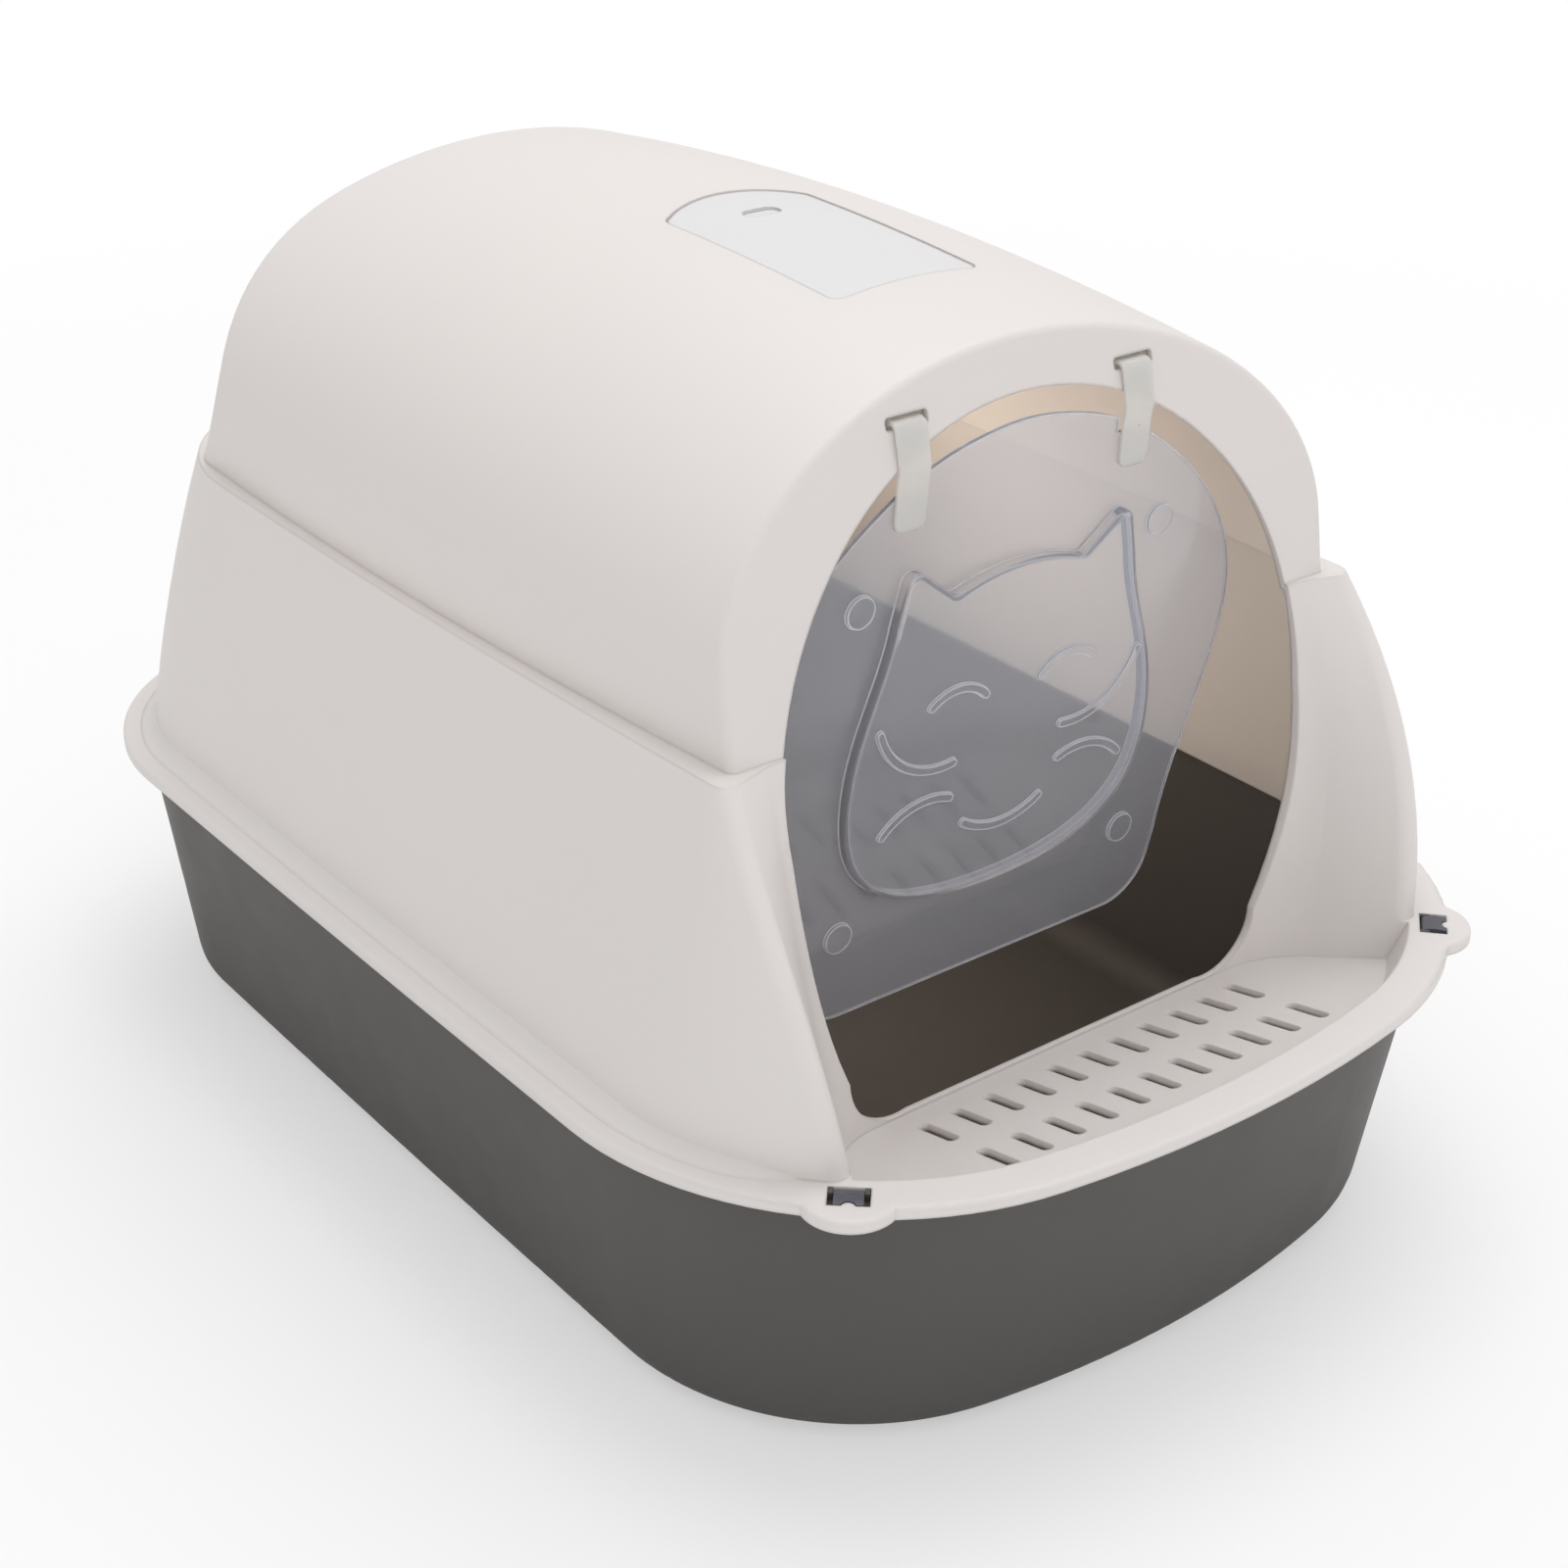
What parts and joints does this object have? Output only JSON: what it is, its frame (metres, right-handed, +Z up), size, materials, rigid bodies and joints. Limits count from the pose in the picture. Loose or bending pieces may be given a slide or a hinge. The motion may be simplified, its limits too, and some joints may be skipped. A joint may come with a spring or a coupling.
{
  "type": "covered litter box",
  "caption": "Two-part litter box: an open tray under a tilting arched hood with a clear swing door, a slotted entry step, a roof cover over a carbon filter and front clip levers.",
  "frame": {"origin": "on the floor under the middle of the rim", "axes": "+Z up, the doorway faces -Y, +X to the right of someone who stands behind the box and looks at the doorway side"},
  "size_m": [0.3798, 0.57, 0.367],
  "materials": {
    "tray_plastic": "fine matte",
    "hood_plastic": "satin",
    "door_plastic": "clear gloss",
    "strap_plastic": "milky gloss",
    "filter_pad": "felt",
    "clip_plastic": "satin"
  },
  "bodies": {
    "tray": {"litter_tray": "tray_plastic"},
    "hood": {"hood": "hood_plastic", "door_strap_left_anchor": "strap_plastic", "door_strap_right_anchor": "strap_plastic", "carbon_filter": "filter_pad"},
    "door": {"door_flap": "door_plastic", "door_strap_left_tail": "strap_plastic", "door_strap_right_tail": "strap_plastic"},
    "cover": {"filter_cover": "hood_plastic"},
    "clip_left": {"latch_clip_left": "clip_plastic"},
    "clip_right": {"latch_clip_right": "clip_plastic"}
  },
  "joints": [
    {"name": "hood_tilt", "type": "hinge", "parent": "tray", "child": "hood", "pos_m": [0, 0.2798, 0.1088], "axis": [-1, 0, 0], "range_deg": [0, 80]},
    {"name": "door_swing", "type": "hinge", "parent": "hood", "child": "door", "pos_m": [0, -0.1585, 0.31726], "axis": [1, 0, 0], "range_deg": [-70, 70], "stiffness_Nm_per_rad": 0.06, "springref_deg": 8.02},
    {"name": "cover_lift", "type": "hinge", "parent": "hood", "child": "cover", "pos_m": [0, -0.094, 0.36062], "axis": [1, 0, 0], "range_deg": [0, 100]},
    {"name": "clip_left_flip", "type": "hinge", "parent": "tray", "child": "clip_left", "pos_m": [-0.14012, -0.23981, 0.1175], "axis": [-0.7455, 0.6665, 0], "range_deg": [0, 70]},
    {"name": "clip_right_flip", "type": "hinge", "parent": "tray", "child": "clip_right", "pos_m": [0.14012, -0.23981, 0.1175], "axis": [-0.7455, -0.6665, 0], "range_deg": [0, 70]}
  ]
}
